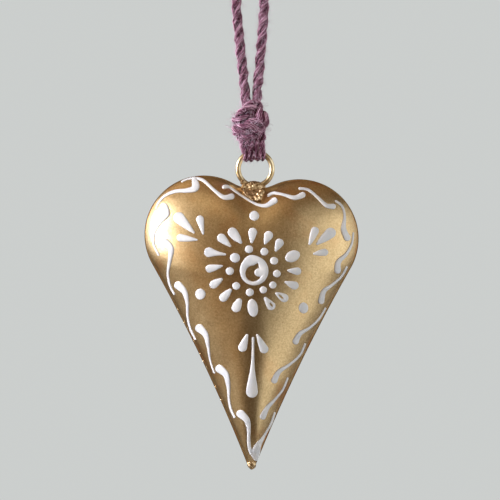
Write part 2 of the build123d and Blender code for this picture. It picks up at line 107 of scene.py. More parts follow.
floor_mesh = bpy.data.meshes.new("floor")
floor_rim = []
for step in range(floor_corners):
    angle = 2 * math.pi * step / floor_corners
    floor_rim.append((floor_radius * math.cos(angle), floor_radius * math.sin(angle), floor_level))
floor_mesh.from_pydata(floor_rim, [], [list(range(floor_corners))])
floor = put("floor", floor_mesh)
floor_paint = new_finish("pale_floor", {"Base Color": (0.72, 0.71, 0.69, 1), "Roughness": 0.8})[0]
floor_mesh.materials.append(floor_paint)

surround = bpy.data.worlds.new("surround")
bpy.context.scene.world = surround
surround.use_nodes = True
sky = surround.node_tree
sky.nodes.clear()
sky_out, sky_mix, sky_seen, sky_light, sky_ray = node_row(
    sky, "ShaderNodeOutputWorld", "ShaderNodeMixShader", "ShaderNodeBackground", "ShaderNodeBackground",
    "ShaderNodeLightPath",
)
dial(sky_seen, {"Color": (0.60, 0.62, 0.61, 1), "Strength": 1.0})
dial(sky_light, {"Color": (1.0, 0.66, 0.38, 1), "Strength": 0.065})
join(sky, (
    (sky_ray, "Is Camera Ray", sky_mix, "Fac"),
    (sky_light, "Background", sky_mix, 1),
    (sky_seen, "Background", sky_mix, 2),
    (sky_mix, "Shader", sky_out, "Surface"),
))

# The light: large soft boxes round the heart that all face its middle, brightest from the left.
# A row is a box's name, place, width and height in metres, power in watts and colour.
heart_middle = Vector((0.0, 0.0, -120 * mm))
soft_boxes = (
    ("key_left", (-1.12, -0.32, 0.18), 0.45, 0.55, 19.4, (0.96, 1.0, 1.12)),
    ("window_left", (-1.15, -0.10, 0.18), 1.7, 1.06, 11.0, (0.92, 1.0, 1.16)),
    ("window_low", (-1.12, -0.12, -0.58), 1.6, 0.36, 0.72, (1.0, 0.94, 0.84)),
    ("bounce_left", (-0.70, -0.92, -0.20), 0.55, 0.6, 0.7, (1.0, 0.76, 0.50)),
    ("window_high", (-0.36, -0.78, 0.80), 0.9, 0.6, 1.15, (1.0, 0.88, 0.70)),
    ("bounce_front", (-0.32, -1.75, 0.70), 1.8, 1.7, 1.7, (1.0, 0.76, 0.50)),
    ("panel_above", (0.0, 0.0, 1.30), 2.2, 1.9, 2.6, (1.0, 0.70, 0.45)),
    ("panel_above_left", (-1.15, 0.15, 1.10), 1.0, 1.9, 3.6, (1.0, 0.74, 0.50)),
    ("panel_right", (0.885, -0.685, -0.08), 1.0, 1.5, 6.2, (0.92, 1.0, 1.06)),
    ("panel_right_far", (1.18, 0.05, -0.04), 1.1, 1.4, 4.7, (0.92, 1.0, 1.08)),
    ("panel_back", (0.35, 1.25, 0.0), 1.7, 1.3, 5.5, (1.0, 0.98, 0.94)),
)
for name, place, width, height, power, colour in soft_boxes:
    light = bpy.data.lights.new(name, "AREA")
    light.shape = "RECTANGLE"
    light.size = width
    light.size_y = height
    light.energy = power
    light.color = colour
    lamp = put(name, light)
    lamp.location = place
    lamp.rotation_mode = "QUATERNION"
    lamp.rotation_quaternion = (heart_middle - Vector(place)).to_track_quat("-Z", "Y")
bpy.context.scene.view_settings.view_transform = "Standard"

# The cord loop: three-ply mauve twisted cord, the stretch from the upper bend down into the
# knot, by which the heart hangs. Its plies are laid like a rope's, rougher here and there.
cord_thickness = 3.5 * mm
cord_swell = 1.14  # how much thicker the loop's loosely laid plies stand
cord_lay = 16.5 * mm  # one full turn of a ply
cord_step = 0.4 * mm
cord_plies, ply_yarns, yarn_sides = 3, 8, 5
ply_size, ply_reach = 0.245, 0.25  # a ply's radius and its way from the middle, over the thickness
yarn_size, yarn_spread = 0.30, 0.70  # a yarn's radius and its way from the ply's middle, over the ply's
yarn_lay = 1.3  # one full turn of a yarn, over a ply's
# How far each of these wanders along the cord, and over how many millimetres.
drift_reach, drift_turn, drift_wave = 0.03, 0.5, 5
ply_swell, ply_wave = 0.14, 2.2
yarn_swell, yarn_wave = 0.09, 1.1
spread_sway, spread_wave = 0.16, 2.6
spin_sway, spin_wave = 0.35, 3
loop_route = [
    (2.034, 0.0, -50.2),
    (4.644, 0.0, -22.8),
    (5.778, 0.0, -0.781),
    (0.0, 0.0, 2.554),
    (-5.778, 0.0, -0.781),
    (-4.156, 0.0, -22.8),
    (-1.034, 0.0, -50.2),
]


def smooth_line(places, step):
    """Points a given step apart along a smooth spline that the places control."""
    curve = bpy.data.curves.new("line", "CURVE")
    curve.dimensions = "3D"
    spline = curve.splines.new("NURBS")
    spline.points.add(len(places) - 1)
    for point, place in zip(spline.points, places):
        point.co = (place[0] * mm, place[1] * mm, place[2] * mm, 1)
    spline.order_u = 3
    spline.use_endpoint_u = True
    spline.resolution_u = 32
    guide = put("line", curve)
    ready = guide.evaluated_get(bpy.context.evaluated_depsgraph_get())
    mesh = bpy.data.meshes.new_from_object(ready)
    line = [vertex.co.copy() for vertex in mesh.vertices]
    bpy.data.objects.remove(guide)
    bpy.data.meshes.remove(mesh)
    travelled = [0.0]
    for before, after in zip(line, line[1:]):
        travelled.append(travelled[-1] + (after - before).length)
    count = max(2, round(travelled[-1] / step))
    points = []
    index = 0
    for number in range(count + 1):
        goal = travelled[-1] * number / count
        while index < len(line) - 2 and travelled[index + 1] < goal:
            index += 1
        span = travelled[index + 1] - travelled[index]
        points.append(line[index].lerp(line[index + 1], (goal - travelled[index]) / span))
    return points


def between(row, share):
    """The value that a row of (share, value) pairs has at this share."""
    for (s0, v0), (s1, v1) in zip(row, row[1:]):
        if share <= s1:
            return v0 + (v1 - v0) * (share - s0) / (s1 - s0)
    return row[-1][1]


def waver(travel, wave, row, kind):
    """A smooth value from -1 to 1 that wanders along the way, over a wave in millimetres."""
    return noise.noise(Vector((travel / (wave * mm), row, kind)))


def smooth(mesh):
    """Shades the whole mesh smooth."""
    mesh.polygons.foreach_set("use_smooth", [True] * len(mesh.polygons))
    mesh.update()


def lay_cord(name, points, thickness, lay, flat=1.0, girth=((0, 1), (1, 1)), seed=0):
    """A twisted cord along the points, as a mesh of plies that are each a bundle of yarns.
    flat below 1 presses it along its second direction, girth thickens it along the way."""
    vertices, faces, around, groove_shade = [], [], [], []
    frames = []
    side = None
    travel = 0.0
    for index, point in enumerate(points):
        before = points[max(index - 1, 0)]
        after = points[min(index + 1, len(points) - 1)]
        way = (after - before).normalized()
        if side is None:
            side = Vector((0, 1, 0)).cross(way) if abs(way.y) < 0.9 else Vector((1, 0, 0))
        side = (side - way * side.dot(way)).normalized()
        if index:
            travel += (point - points[index - 1]).length
        frames.append((point, way, side, way.cross(side), travel))
    total = travel
    for ply in range(cord_plies):
        for yarn in range(ply_yarns):
            first = len(vertices)
            seat = yarn * 3.7 + ply * 11.3 + seed * 1.9
            for point, way, side, across, travel in frames:
                fat = thickness * between(girth, travel / total)
                drift = waver(travel, drift_wave, ply * 7.3 + seed, 0.5)
                swell = 1 + ply_swell * waver(travel, ply_wave, ply * 3.1 + seed, 9.5)
                ply_radius = fat * ply_size * swell
                turn = 2 * math.pi * (travel / lay + ply / cord_plies) + drift * drift_turn
                out = side * math.cos(turn) + across * math.sin(turn) * flat
                along = out.cross(way)
                ply_middle = point + out * (fat * (ply_reach + drift_reach * drift))
                spin = 2 * math.pi * (yarn / ply_yarns - travel / (lay * yarn_lay))
                spin += spin_sway * waver(travel, spin_wave, seat, 7.5)
                spread = ply_radius * (yarn_spread + spread_sway * waver(travel, spread_wave, seat, 2.5))
                middle = ply_middle + (out * math.cos(spin) + along * math.sin(spin) * 1.08) * spread
                yarn_radius = ply_radius * (yarn_size + yarn_swell * waver(travel, yarn_wave, seat, 4.5))
                for corner in range(yarn_sides):
                    angle = 2 * math.pi * corner / yarn_sides
                    place = middle + (out * math.cos(angle) + along * math.sin(angle)) * yarn_radius
                    vertices.append(place)
                    around.append((travel / mm, corner / yarn_sides + seat))
                    # Painted shade: how far out each point stands from the cord's middle and its ply's
                    # middle. The cord's colour is darkened by it in the grooves between plies and yarns,
                    # and a pressed cord gets a lift that is painted lighter.
                    off_cord = (place - point).length / (fat * 0.5)
                    off_ply = (place - ply_middle).length / ply_radius
                    groove_shade.append(0.45 * off_cord + 0.55 * off_ply + 0.35 * (1 - flat))
            for ring in range(len(frames) - 1):
                for corner in range(yarn_sides):
                    a = first + ring * yarn_sides + corner
                    b = first + ring * yarn_sides + (corner + 1) % yarn_sides
                    faces.append((a, a + yarn_sides, b + yarn_sides, b))
            faces.append([first + corner for corner in range(yarn_sides)])
            last = first + (len(frames) - 1) * yarn_sides
            faces.append([last + corner for corner in range(yarn_sides)][::-1])
    mesh = bpy.data.meshes.new(name)
    mesh.from_pydata(vertices, [], faces)
    layer = mesh.uv_layers.new(name="UVMap")
    for loop in mesh.loops:
        layer.data[loop.index].uv = around[loop.vertex_index]
    mesh.attributes.new("groove_shade", "FLOAT", "POINT").data.foreach_set("value", groove_shade)
    smooth(mesh)
    return put(name, mesh)


def tones(ramp, *steps):
    """Sets a colour ramp's tones, each a position and a colour."""
    elements = ramp.color_ramp.elements
    while len(elements) < len(steps):
        elements.new(0.5)
    for element, (position, colour) in zip(elements, steps):
        element.position = position
        element.color = (*colour, 1)


# The cord's colour: the fibres' own mottled tone, with painted shade that darkens the grooves between
# plies and yarns, deepest nearest the cord's middle.
cord_dye_and_groove_shade, tree, shader = new_finish("mauve_cord", {
    "Roughness": 0.9, "Specular IOR Level": 0.15, "Sheen Weight": 0.2, "Sheen Roughness": 0.4,
    "Sheen Tint": (1.0, 0.86, 0.92, 1),
})
place, stretch, fibre, height, depth, blend_in, dye, lump = node_row(
    tree, "ShaderNodeUVMap", "ShaderNodeMapping", "ShaderNodeTexNoise", "ShaderNodeAttribute",
    "ShaderNodeMapRange", "ShaderNodeMath", "ShaderNodeValToRGB", "ShaderNodeBump",
)
place.uv_map = "UVMap"
height.attribute_name = "groove_shade"
blend_in.operation = "ADD"
dial(stretch, {"Rotation": (0, 0, math.radians(8)), "Scale": (0.65, 2.0, 1.0)})
dial(fibre, {"Scale": 1.0, "Detail": 5.0, "Roughness": 0.75})
# Painted shade: a point's depth inside the cord becomes a darkening of the colour, and the ramp's
# darkest tones are this shade in the grooves. The noise gives the fibres' own tone.
dial(depth, {"From Min": 0.55, "From Max": 1.05, "To Min": -0.36, "To Max": 0.20})
dial(lump, {"Strength": 0.7, "Distance": 0.2 * mm})
tones(dye, (0.34, (0.035, 0.006, 0.017)), (0.53, (0.23, 0.075, 0.125)), (0.70, (0.76, 0.46, 0.58)))
join(tree, (
    (place, "UV", stretch, "Vector"),
    (stretch, "Vector", fibre, "Vector"),
    (height, "Fac", depth, "Value"),
    (fibre, "Fac", blend_in, 0),
    (depth, "Result", blend_in, 1),
    (blend_in, "Value", dye, "Fac"),
    (dye, "Color", shader, "Base Color"),
    (fibre, "Fac", lump, "Height"),
    (lump, "Normal", shader, "Normal"),
))

loop_points = smooth_line(loop_route, cord_step)
cord_loop = lay_cord("loop_plies", loop_points, cord_thickness * cord_swell, cord_lay, seed=3)
cord_loop.data.materials.append(cord_dye_and_groove_shade)

# The loop's loose fibres: short, thin ends of the cord's own yarn that have worked out of it.
# They are scattered over the plies, each bent and turned its own way.
hair_dye, tree, shader = new_finish("mauve_fibre", {"Roughness": 0.8, "Sheen Weight": 0.4})
where, fade, dye = node_row(tree, "ShaderNodeTexCoord", "ShaderNodeTexNoise", "ShaderNodeValToRGB")
dial(fade, {"Scale": 900.0})
tones(dye, (0.0, (0.46, 0.25, 0.35)), (1.0, (0.88, 0.70, 0.79)))
join(tree, (
    (where, "Object", fade, "Vector"),
    (fade, "Fac", dye, "Fac"),
    (dye, "Color", shader, "Base Color"),
))


def new_rule(name, sizes):
    """An empty Geometry Nodes rule with named inputs for its sizes. Gives the rule and its ends."""
    rule = bpy.data.node_groups.new(name, "GeometryNodeTree")
    rule.is_modifier = True
    face = rule.interface
    face.new_socket("Geometry", in_out="INPUT", socket_type="NodeSocketGeometry")
    for label, kind, value in sizes:
        face.new_socket(label, in_out="INPUT", socket_type=kind).default_value = value
    face.new_socket("Stuff", in_out="INPUT", socket_type="NodeSocketMaterial")
    face.new_socket("Geometry", in_out="OUTPUT", socket_type="NodeSocketGeometry")
    return rule, *node_row(rule, "NodeGroupInput", "NodeGroupOutput")


hair_rule, given, made = new_rule("loose_fibres", (
    ("Fibres Per Square Metre", "NodeSocketFloat", 900000.0),
    ("Fibre Length", "NodeSocketFloat", 2.2 * mm),
    ("Fibre Radius", "NodeSocketFloat", 0.04 * mm),
    ("Seed", "NodeSocketInt", 1),
))
scatter, arc, tube, hoop, stick, spin, spin_amount, size, real, dress, arc_end, arc_middle = node_row(
    hair_rule, "GeometryNodeDistributePointsOnFaces", "GeometryNodeCurveQuadraticBezier",
    "GeometryNodeCurveToMesh", "GeometryNodeCurvePrimitiveCircle", "GeometryNodeInstanceOnPoints",
    "FunctionNodeRotateRotation", "FunctionNodeRandomValue", "FunctionNodeRandomValue",
    "GeometryNodeRealizeInstances", "GeometryNodeSetMaterial", "ShaderNodeCombineXYZ",
    "ShaderNodeCombineXYZ",
)
half_length, bow, turn_to = node_row(
    hair_rule, "ShaderNodeMath", "ShaderNodeMath", "FunctionNodeEulerToRotation"
)
half_length.operation = "MULTIPLY"
bow.operation = "MULTIPLY"
spin_amount.data_type = "FLOAT_VECTOR"
spin.rotation_space = "LOCAL"
size.data_type = "FLOAT"
dial(arc, {"Resolution": 5, "Start": (0, 0, 0)})
dial(hoop, {"Resolution": 3})
dial(tube, {"Fill Caps": True})
dial(half_length, {1: 0.5})
dial(bow, {1: 0.28})
dial(spin_amount, {"Min": (-1.25, -1.25, 0.0), "Max": (1.25, 1.25, 6.28)})
dial(size, {2: 0.25, 3: 1.0})
join(hair_rule, (
    (given, "Geometry", scatter, "Mesh"),
    (given, "Fibres Per Square Metre", scatter, "Density"),
    (given, "Seed", scatter, "Seed"),
    (given, "Seed", spin_amount, "Seed"),
    (given, "Seed", size, "Seed"),
    (given, "Fibre Length", half_length, 0),
    (given, "Fibre Length", bow, 0),
    (given, "Fibre Length", arc_end, "Z"),
    (given, "Fibre Radius", hoop, "Radius"),
    (bow, 0, arc_middle, "X"),
    (half_length, 0, arc_middle, "Z"),
    (arc_middle, "Vector", arc, "Middle"),
    (arc_end, "Vector", arc, "End"),
    (arc, "Curve", tube, "Curve"),
    (hoop, "Curve", tube, "Profile Curve"),
    (scatter, "Points", stick, "Points"),
    (tube, "Mesh", stick, "Instance"),
    (spin_amount, 0, turn_to, "Euler"),
    (scatter, "Rotation", spin, "Rotation"),
    (turn_to, "Rotation", spin, "Rotate By"),
    (spin, "Rotation", stick, "Rotation"),
    (size, 1, stick, "Scale"),
    (stick, "Instances", real, "Geometry"),
    (real, "Geometry", dress, "Geometry"),
    (given, "Stuff", dress, "Material"),
    (dress, "Geometry", made, "Geometry"),
))


def settled(piece):
    """The piece with what its modifiers make as its plain mesh."""
    ready = piece.evaluated_get(bpy.context.evaluated_depsgraph_get())
    mesh = bpy.data.meshes.new_from_object(ready)
    piece.modifiers.clear()
    piece.data = mesh
    mesh.name = piece.name
    smooth(mesh)
    return piece


def made_by(rule, name, source, values):
    """A plain mesh that a rule makes from the source object's mesh with these named values."""
    piece = put(name, source.data.copy())
    modifier = piece.modifiers.new(rule.name, "NODES")
    modifier.node_group = rule
    for item in rule.interface.items_tree:
        if item.in_out == "INPUT" and item.name in values:
            modifier[item.identifier] = values[item.name]
    return settled(piece)


loop_hairs = made_by(hair_rule, "loop_fibres", cord_loop, {
    "Fibres Per Square Metre": 700000.0, "Fibre Length": 2.4 * mm, "Seed": 4, "Stuff": hair_dye,
})
for piece in (cord_loop, loop_hairs):
    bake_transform(piece)
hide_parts("cord_loop")

# The knot: the same cord tied over itself. A wrap goes round the strands about two and a half
# times, and three short strands run through it: left, right and down to the neck.
knot_route = [
    (-4.0, 1.8, -52.0),
    (-2.2, 3.6, -51.4),
    (1.2, 4.0, -50.2),
    (3.3, 2.4, -48.4),
    (1.6, -2.0, -47.8),
    (-1.0, -4.0, -49.8),
    (-3.4, -4.3, -52.2),
    (-5.0, -1.6, -53.9),
    (-4.6, 2.8, -54.8),
    (0.0, 4.8, -54.6),
    (3.8, 3.2, -54.2),
    (4.6, 0.0, -55.0),
    (3.4, -3.4, -55.0),
    (0.6, -5.2, -55.4),
    (-2.8, -4.8, -56.6),
    (-5.0, -2.0, -57.3),
    (-4.8, 2.4, -58.0),
    (-1.2, 4.4, -58.2),
    (3.0, 3.6, -57.4),
    (4.4, 0.2, -57.4),
    (2.8, -3.4, -58.2),
    (-0.6, -4.2, -59.3),
    (-3.2, -2.2, -59.9),
    (-3.0, 1.6, -60.0),
    (0.0, 2.4, -59.6),
]
left_strand_route = [
    (-1.4, 0.0, -46.7),
    (-1.0, -0.8, -49.2),
    (0.9, -2.7, -52.2),
    (0.6, -1.6, -56.0),
    (-0.6, -1.4, -59.4),
    (-0.5, -2.0, -61.4),
]
right_strand_route = [
    (2.4, 0.0, -46.7),
    (2.8, -1.4, -48.3),
    (3.3, -3.4, -50.4),
    (4.5, -3.6, -52.8),
    (5.0, -0.6, -54.8),
    (3.4, 2.2, -55.2),
    (0.5, 2.5, -55.5),
]
neck_strand_route = [
    (2.3, 0.4, -47.6),
    (2.0, -1.8, -49.8),
    (2.3, -3.0, -52.0),
    (2.9, -2.6, -55.0),
    (3.4, -1.8, -58.6),
    (4.0, -2.0, -61.4),
]
knot_girth = (
    (0, 1.1), (0.12, 1.1), (0.22, 1.1), (0.38, 0.95), (0.46, 1.15), (0.56, 1.2), (0.66, 1.0), (1, 0.9),
)
right_strand_girth = ((0, 0.75), (0.3, 1.0), (0.55, 1.22), (1, 0.9))
knot_strands = (  # name, route, thickness, lay, girth along the way and seed
    ("knot_wrap", knot_route, 4.3 * mm, 14 * mm, knot_girth, 11),
    ("knot_strand_left", left_strand_route, 4.6 * mm, cord_lay, ((0, 0.8), (0.25, 1.0), (1, 1.0)), 21),
    ("knot_strand_right", right_strand_route, 4.9 * mm, 13 * mm, right_strand_girth, 31),
    ("knot_strand_neck", neck_strand_route, 4.6 * mm, cord_lay, ((0, 1), (1, 1)), 35),
)
knot_pieces = []
for name, route, thickness, lay, girth, seed in knot_strands:
    strand = lay_cord(name, smooth_line(route, cord_step), thickness, lay, girth=girth, seed=seed)
    knot_pieces.append(strand)
knot_wrap, left_strand = knot_pieces[:2]
knot_hairs = made_by(hair_rule, "knot_fibres", knot_wrap, {
    "Fibres Per Square Metre": 560000.0, "Fibre Length": 3.4 * mm, "Fibre Radius": 0.05 * mm, "Seed": 9,
    "Stuff": hair_dye,
})
for piece in knot_pieces:
    piece.data.materials.append(cord_dye_and_groove_shade)
for piece in (*knot_pieces, knot_hairs):
    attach(piece, "knot")
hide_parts("cord_knot")
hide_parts("knot_core")

# The bights: two turns of the same cord that leave the knot, pass under the ring's top wire and
# go up again. The weight presses them flat and opens their lay. Places are in millimetres.
bight_thickness, bight_lay = 3.4 * mm, 15 * mm
bight_press = 0.8
bight_step = 0.35 * mm
bight_depth = 2.3
bight_top, neck_bottom = -58.6, -61.0
neck_half, foot_half = 1.15, 0.9  # from a bight's middle to each of its two strands
ring_x, ring_z = 1.9, -71.8  # of the wire ring's middle
ring_radius = 6.35  # to the middle of its wire
bight_girth = ((0, 1.15), (0.2, 1.1), (0.4, 0.75), (0.6, 0.75), (0.8, 1.1), (1, 1.15))
bights = (("bight_left", -1.2, -0.45, 41), ("bight_right", 2.5, 3.75, 51))  # name, neck, foot and seed
for name, neck_middle, foot_middle, seed in bights:
    for strand, side_x in (("left_strand", -1), ("right_strand", 1)):
        neck_x = neck_middle + side_x * neck_half
        foot_x = foot_middle + side_x * foot_half
        middle_x = (neck_x + foot_x) / 2
        wire_z = ring_z + math.sqrt(ring_radius**2 - (abs(foot_middle - ring_x) + foot_half) ** 2)
        front_route = [
            (neck_x * 0.85, -bight_depth * 0.8, bight_top),
            (neck_x, -bight_depth * 0.9, neck_bottom),
            (middle_x, -bight_depth, wire_z + 1.6),
            (foot_x, -bight_depth, wire_z - 0.5),
            (foot_x, -bight_depth * 0.8, wire_z - 1.6),
        ]
        back_route = [(x, -y, z) for x, y, z in front_route[::-1]]
        points = smooth_line([*front_route, (foot_x, 0.0, wire_z - 2.0), *back_route], bight_step)
        bight = lay_cord(
            name + "_" + strand, points, bight_thickness, bight_lay, flat=bight_press, girth=bight_girth,
            seed=seed + side_x,
        )
        bight.data.materials.append(cord_dye_and_groove_shade)
        hairs = made_by(hair_rule, name + "_fibres_" + strand, bight, {
            "Fibres Per Square Metre": 350000.0, "Fibre Length": 2.2 * mm, "Seed": seed,
            "Stuff": hair_dye,
        })
        for piece in (bight, hairs):
            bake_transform(piece)
        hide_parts(name)

# The ring: a 2 mm brass wire bent round and closed, worn bright. The braze in the cleft holds it,
# and it keeps its CAD mesh.
brass, tree, shader = new_finish(
    "worn_brass", {"Metallic": 1.0, "Coat Weight": 0.2, "Coat Roughness": 0.1}
)
where, tarnish, tint, shine, lump = node_row(
    tree, "ShaderNodeTexCoord", "ShaderNodeTexNoise", "ShaderNodeValToRGB", "ShaderNodeMapRange",
    "ShaderNodeBump",
)
dial(tarnish, {"Scale": 420.0, "Detail": 6.0})
tones(tint, (0.30, (0.50, 0.34, 0.15)), (0.65, (0.86, 0.70, 0.44)))
dial(shine, {"To Min": 0.24, "To Max": 0.42})
dial(lump, {"Strength": 0.15, "Distance": 0.05 * mm})
join(tree, (
    (where, "Object", tarnish, "Vector"),
    (tarnish, "Fac", tint, "Fac"),
    (tarnish, "Fac", shine, "Value"),
    (tarnish, "Fac", lump, "Height"),
    (tint, "Color", shader, "Base Color"),
    (shine, "Result", shader, "Roughness"),
    (lump, "Normal", shader, "Normal"),
))
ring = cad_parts["hanging_ring"]
ring.data.materials.clear()
ring.data.materials.append(brass)

# The ring's braze: a crusty lump that holds the ring in the cleft and has run down both faces.
# It is the CAD's lump, made rough with grains and a few bright beads.
weld_gap = 0.005 * mm
crust_cell = 0.16 * mm
crust_layers = ((1, 1), (2.1, 0.6), (4.3, 0.35))  # how many times finer its grains are, and how high
crust, tree, shader = new_finish("crusty_braze", {"Metallic": 0.95})
where, grain, pit, tint, shine, lump = node_row(
    tree, "ShaderNodeTexCoord", "ShaderNodeTexNoise", "ShaderNodeTexVoronoi", "ShaderNodeValToRGB",
    "ShaderNodeMapRange", "ShaderNodeBump",
)
dial(grain, {"Scale": 900.0, "Detail": 6.0})
dial(pit, {"Scale": 1300.0})
tones(tint, (0.36, (0.33, 0.19, 0.075)), (0.62, (0.84, 0.62, 0.36)))
dial(shine, {"To Min": 0.22, "To Max": 0.55})
dial(lump, {"Strength": 0.8, "Distance": 0.15 * mm})
join(tree, (
    (where, "Object", grain, "Vector"),
    (where, "Object", pit, "Vector"),
    (grain, "Fac", tint, "Fac"),
    (grain, "Fac", shine, "Value"),
    (pit, "Distance", lump, "Height"),
    (tint, "Color", shader, "Base Color"),
    (shine, "Result", shader, "Roughness"),
    (lump, "Normal", shader, "Normal"),
))


def crusted(node, name, grain_size, roughness, stuff, seed, beads=()):
    """The node's lump and its beads (place, radius), remeshed finely and roughened as one mesh."""
    build = bmesh.new()
    build.from_mesh(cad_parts[node].data)
    for place, radius in beads:
        spot = Matrix.Translation(Vector(place) * mm)
        bmesh.ops.create_icosphere(build, subdivisions=3, radius=radius * mm, matrix=spot)
    source = bpy.data.meshes.new(name)
    build.to_mesh(source)
    build.free()
    piece = put(name, source)
    weld = piece.modifiers.new("weld", "WELD")
    weld.merge_threshold = weld_gap
    remesh = piece.modifiers.new("remesh", "REMESH")
    remesh.mode = "VOXEL"
    remesh.voxel_size = crust_cell
    mesh = settled(piece).data
    for vertex in mesh.vertices:
        spot = vertex.co / grain_size + Vector((seed, seed * 2, seed * 3))
        bump = sum(height * noise.noise(spot * finer) for finer, height in crust_layers)
        vertex.co += vertex.normal * (bump * roughness)
    mesh.materials.clear()
    mesh.materials.append(stuff)
    smooth(mesh)
    return piece


ring_beads = (  # where they sit and their radius, in millimetres
    ((-2.7, -1.1, -76.9), 0.95),
    ((-2.3, -1.9, -78.6), 0.85),
    ((-2.0, -3.2, -79.9), 0.6),
    ((4.4, -3.8, -80.6), 1.2),
    ((3.6, -5.7, -81.7), 1.3),
    ((3.7, -7.0, -82.9), 1.0),
    ((2.6, -7.4, -83.2), 0.9),
)
ring_lump = crusted("ring_braze", "ring_braze_crust", 0.9 * mm, 0.26 * mm, crust, 5, ring_beads)
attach(ring_lump, "heart")
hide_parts("ring_braze")

# The half shells: tinplate pressed to a puffed half heart and gold lacquered, their rims brazed
# together. The dressed shells follow the CAD's domes, with the faint dents of hand work.
crown = Vector((0.6 * mm, 0.0, -107.44 * mm))
rim_step = 0.75 * mm
rim_looks = 2400  # directions in which the rim is looked for
rim_halvings = 17
farthest_rim = 0.12
rise_steps = 56
sheet = 0.5 * mm
sheet_drop = 0.1 * mm  # by which the dented sheet lies under the CAD's
rim_half_gap = 0.3 * mm
dents = ((13 * mm, 1, 0.16 * mm), (5 * mm, 3, 0.035 * mm))  # their width, their seed and their depth
valley_x = 2.0 * mm
valley_top = -80.0 * mm
valley_width = 7.5 * mm
valley_length = 11.0 * mm
valley_depth = 0.7 * mm
keel_soft = 3.2 * mm  # how far to each side the keel is rounded off
keel_from, keel_full = 12 * mm, 30 * mm  # below the crown
keel_places = (-1, -0.5, 0.5, 1)
keel_fade, dent_fade = 2.2, 12  # how soon the two fade out towards the rim
overrun = 0.1

grain_rule = bpy.data.node_groups.new("antique_grain", "ShaderNodeTree")
for label in ("Speckle", "Patina", "Rim"):
    grain_rule.interface.new_socket(label, in_out="OUTPUT", socket_type="NodeSocketFloat")
rule_out, where, speckle, patina, parts_of, depth_of, near_rim = node_row(
    grain_rule, "NodeGroupOutput", "ShaderNodeTexCoord", "ShaderNodeTexNoise", "ShaderNodeTexNoise",
    "ShaderNodeSeparateXYZ", "ShaderNodeMath", "ShaderNodeMapRange",
)
depth_of.operation = "ABSOLUTE"
dial(speckle, {"Scale": 1500.0, "Detail": 5.0, "Roughness": 0.7})
dial(patina, {"Scale": 75.0, "Detail": 6.0, "Roughness": 0.6})
dial(near_rim, {"From Min": 2.0 * mm, "From Max": 8.0 * mm, "To Min": 1.0, "To Max": 0.3})
join(grain_rule, (
    (where, "Object", speckle, "Vector"),
    (where, "Object", patina, "Vector"),
    (where, "Object", parts_of, "Vector"),
    (parts_of, "Y", depth_of, 0),
    (depth_of, 0, near_rim, "Value"),
    (speckle, "Fac", rule_out, "Speckle"),
    (patina, "Fac", rule_out, "Patina"),
    (near_rim, "Result", rule_out, "Rim"),
))

gold, tree, shader = new_finish(
    "antique_gold", {"Metallic": 0.97, "Coat Weight": 0.2, "Coat Roughness": 0.25, "Coat IOR": 1.5}
)
grains, tint, copper, warm, warm_share, shine, lump = node_row(
    tree, "ShaderNodeGroup", "ShaderNodeValToRGB", "ShaderNodeMix", "ShaderNodeValToRGB",
    "ShaderNodeMath", "ShaderNodeMapRange", "ShaderNodeBump",
)
grains.node_tree = grain_rule
copper.data_type = "RGBA"
copper.blend_type = "MIX"
warm_share.operation = "MULTIPLY"
tones(tint, (0.30, (0.46, 0.29, 0.12)), (0.70, (0.73, 0.53, 0.28)))
tones(warm, (0.50, (0, 0, 0)), (0.72, (1, 1, 1)))
dial(shine, {"From Min": 0.3, "From Max": 0.7, "To Min": 0.34, "To Max": 0.27})
dial(lump, {"Strength": 0.8, "Distance": 0.09 * mm})
dial(copper, {7: (0.60, 0.24, 0.07, 1)})
join(tree, (
    (grains, "Speckle", tint, "Fac"),
    (grains, "Patina", warm, "Fac"),
    (warm, "Color", warm_share, 0),
    (grains, "Rim", warm_share, 1),
    (warm_share, 0, copper, 0),
    (tint, "Color", copper, 6),
    (copper, 2, shader, "Base Color"),
    (grains, "Patina", shine, "Value"),
    (shine, "Result", shader, "Roughness"),
    (grains, "Speckle", lump, "Height"),
    (lump, "Normal", shader, "Normal"),
))


def surface_of(mesh):
    """A mesh made ready for finding where lines meet it."""
    corners = [vertex.co for vertex in mesh.vertices]
    return BVHTree.FromPolygons(corners, [list(face.vertices) for face in mesh.polygons])


def dome_point(surface, x, z, sign):
    """Where a line along Y from outside meets the dome at this x and z, with its normal."""
    return surface.ray_cast(Vector((x, sign * overrun, z)), Vector((0, -sign, 0)), 2 * overrun)


